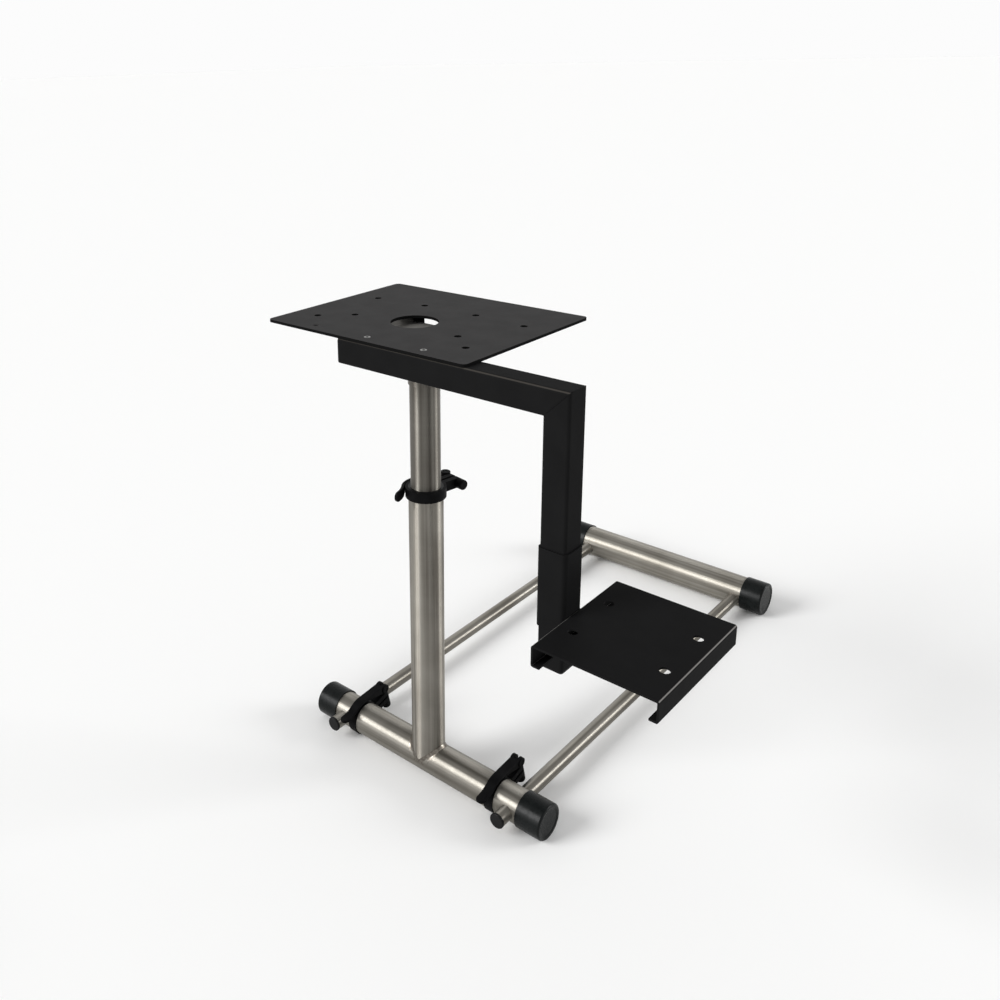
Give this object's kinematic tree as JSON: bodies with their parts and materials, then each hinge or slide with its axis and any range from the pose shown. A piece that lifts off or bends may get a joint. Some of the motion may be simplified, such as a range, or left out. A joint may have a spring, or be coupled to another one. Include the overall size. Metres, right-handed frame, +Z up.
{
  "type": "racing wheel stand",
  "caption": "Free-standing stand for a gaming steering wheel: telescopic stainless post on a sliding rod base, flat wheel plate and a side arm with a shifter plate.",
  "frame": {"origin": "on the floor, under the middle of the whole stand's box", "axes": "+X to the right along the front crossbar, +Y along the rods towards the rear crossbar, +Z up"},
  "size_m": [0.6852, 0.998, 0.7286],
  "materials": {
    "stainless": "brushed",
    "black_steel": "satin powder coat",
    "rubber": "satin",
    "black_plastic": "moulded, fine grain",
    "zinc": "zinc plated"
  },
  "bodies": {
    "front_base": {"front_crossbar": "stainless", "lower_post": "stainless", "post_bush": "black_plastic", "front_cap_left": "rubber", "front_cap_right": "rubber", "post_clamp_collar": "black_plastic", "post_clamp_skewer": "black_steel", "post_clamp_nut": "black_plastic", "left_clamp_collar": "black_plastic", "left_clamp_skewer": "black_steel", "left_clamp_nut": "black_plastic", "right_clamp_collar": "black_plastic", "right_clamp_skewer": "black_steel", "right_clamp_nut": "black_plastic"},
    "rear_base": {"rear_crossbar": "stainless", "rear_cap_left": "rubber", "rear_cap_right": "rubber", "slide_rod_left": "stainless", "slide_rod_right": "stainless", "rod_tip_left": "black_plastic", "rod_tip_right": "black_plastic"},
    "mast_guide": {"guide_bush": "black_plastic"},
    "mast": {"upper_post": "stainless", "head_sleeve": "stainless", "head_bracket": "stainless", "wheel_plate": "black_steel", "arm_tube": "black_steel", "drop_tube": "black_steel", "arm_bolt_inner": "zinc", "arm_bolt_outer": "zinc", "arm_end_plug": "black_plastic", "drop_end_plug": "black_plastic"},
    "shifter_mount": {"shifter_sleeve": "black_steel", "shifter_plate": "black_steel", "sleeve_set_screw": "zinc"},
    "post_lever": {"post_clamp_lever": "black_plastic"},
    "left_lever": {"left_clamp_lever": "black_plastic"},
    "right_lever": {"right_clamp_lever": "black_plastic"}
  },
  "joints": [
    {"name": "base_extension", "type": "slide", "parent": "front_base", "child": "rear_base", "axis": [0, 1, 0], "range_m": [-0.62, 0.015]},
    {"name": "post_height", "type": "slide", "parent": "front_base", "child": "mast_guide", "axis": [0, 0, 1], "range_m": [-0.15, 0.12]},
    {"name": "post_swivel", "type": "hinge", "parent": "mast_guide", "child": "mast", "pos_m": [-0.12198, -0.30512, 0.2763], "axis": [0, 0, 1], "continuous": true},
    {"name": "shifter_height", "type": "slide", "parent": "mast", "child": "shifter_mount", "axis": [0, 0, 1], "range_m": [-0.045, 0.15]},
    {"name": "post_lever_pivot", "type": "hinge", "parent": "front_base", "child": "post_lever", "pos_m": [-0.1305, -0.2498, 0.4758], "axis": [0, 0, -1], "range_deg": [0, 110]},
    {"name": "left_lever_pivot", "type": "hinge", "parent": "front_base", "child": "left_lever", "pos_m": [-0.26238, -0.25805, 0.05779], "axis": [-1, 0, 0], "range_deg": [0, 110]},
    {"name": "right_lever_pivot", "type": "hinge", "parent": "front_base", "child": "right_lever", "pos_m": [0.01093, -0.25805, 0.05779], "axis": [-1, 0, 0], "range_deg": [0, 110]}
  ]
}
